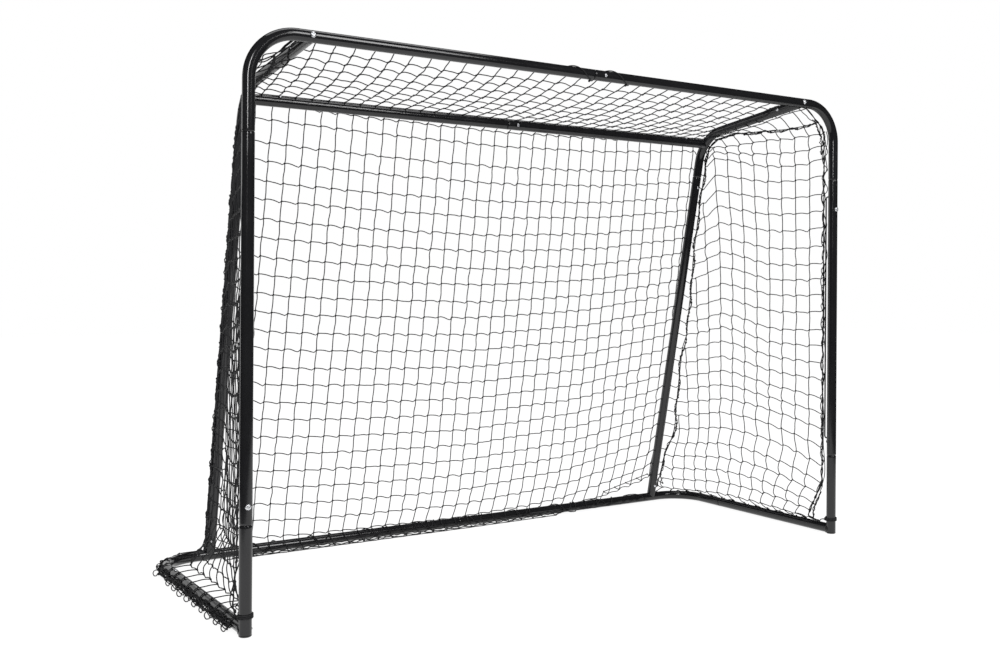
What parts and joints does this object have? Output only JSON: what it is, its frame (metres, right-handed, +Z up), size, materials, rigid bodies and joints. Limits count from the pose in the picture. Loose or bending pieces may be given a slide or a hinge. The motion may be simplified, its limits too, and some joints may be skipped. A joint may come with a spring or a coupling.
{
  "type": "floorball goal",
  "caption": "Bolted black steel-tube floorball goal: rounded mouth frame, sloping side frames, open base frame and a laced square-mesh net.",
  "frame": {"origin": "bottom centre of the whole goal's bounding box, on the floor", "axes": "+X to the right of someone who looks into the mouth, +Y from the mouth to the back, +Z up"},
  "size_m": [1.6566, 0.6589, 1.1782],
  "materials": {
    "powder_coated_tube": "gloss black powder coat on steel tube",
    "zinc_fasteners": "bright zinc plate",
    "foot_caps": "moulded black plastic",
    "net_twine": "black knotted twine"
  },
  "bodies": {
    "root": {"crossbar_left": "powder_coated_tube", "crossbar_right": "powder_coated_tube", "post_left": "powder_coated_tube", "post_right": "powder_coated_tube", "foot_left": "powder_coated_tube", "foot_right": "powder_coated_tube", "base_corner_left": "powder_coated_tube", "base_corner_right": "powder_coated_tube", "top_arm_left": "powder_coated_tube", "top_arm_right": "powder_coated_tube", "rear_stay_left": "powder_coated_tube", "rear_stay_right": "powder_coated_tube", "rear_crossbar_left": "powder_coated_tube", "rear_crossbar_right": "powder_coated_tube", "arm_spigot_left": "zinc_fasteners", "arm_spigot_right": "zinc_fasteners", "arm_bolt_left": "zinc_fasteners", "arm_bolt_right": "zinc_fasteners", "upper_bolt_left": "zinc_fasteners", "upper_bolt_right": "zinc_fasteners", "lower_bolt_left": "zinc_fasteners", "lower_bolt_right": "zinc_fasteners", "upper_nut_left": "zinc_fasteners", "upper_nut_right": "zinc_fasteners", "lower_nut_left": "zinc_fasteners", "lower_nut_right": "zinc_fasteners", "crossbar_screw": "zinc_fasteners", "rear_crossbar_screw_centre": "zinc_fasteners", "rear_crossbar_screw_left": "zinc_fasteners", "rear_crossbar_screw_right": "zinc_fasteners", "arm_screw_left": "zinc_fasteners", "arm_screw_right": "zinc_fasteners", "stay_screw_upper_left": "zinc_fasteners", "stay_screw_upper_right": "zinc_fasteners", "stay_screw_lower_left": "zinc_fasteners", "stay_screw_lower_right": "zinc_fasteners", "base_screw_centre": "zinc_fasteners", "base_screw_left": "zinc_fasteners", "base_screw_right": "zinc_fasteners", "foot_cap_left": "foot_caps", "foot_cap_right": "foot_caps", "net_top": "net_twine", "net_back": "net_twine", "net_left": "net_twine", "net_right": "net_twine", "post_lacing_left": "net_twine", "post_lacing_right": "net_twine", "crossbar_lacing_left": "net_twine", "crossbar_lacing_right": "net_twine", "crossbar_centre_lacing": "net_twine", "base_lacing_left": "net_twine", "base_lacing_right": "net_twine", "base_lacing_rear": "net_twine", "foot_tie_left": "net_twine", "foot_tie_right": "net_twine"}
  },
  "joints": []
}
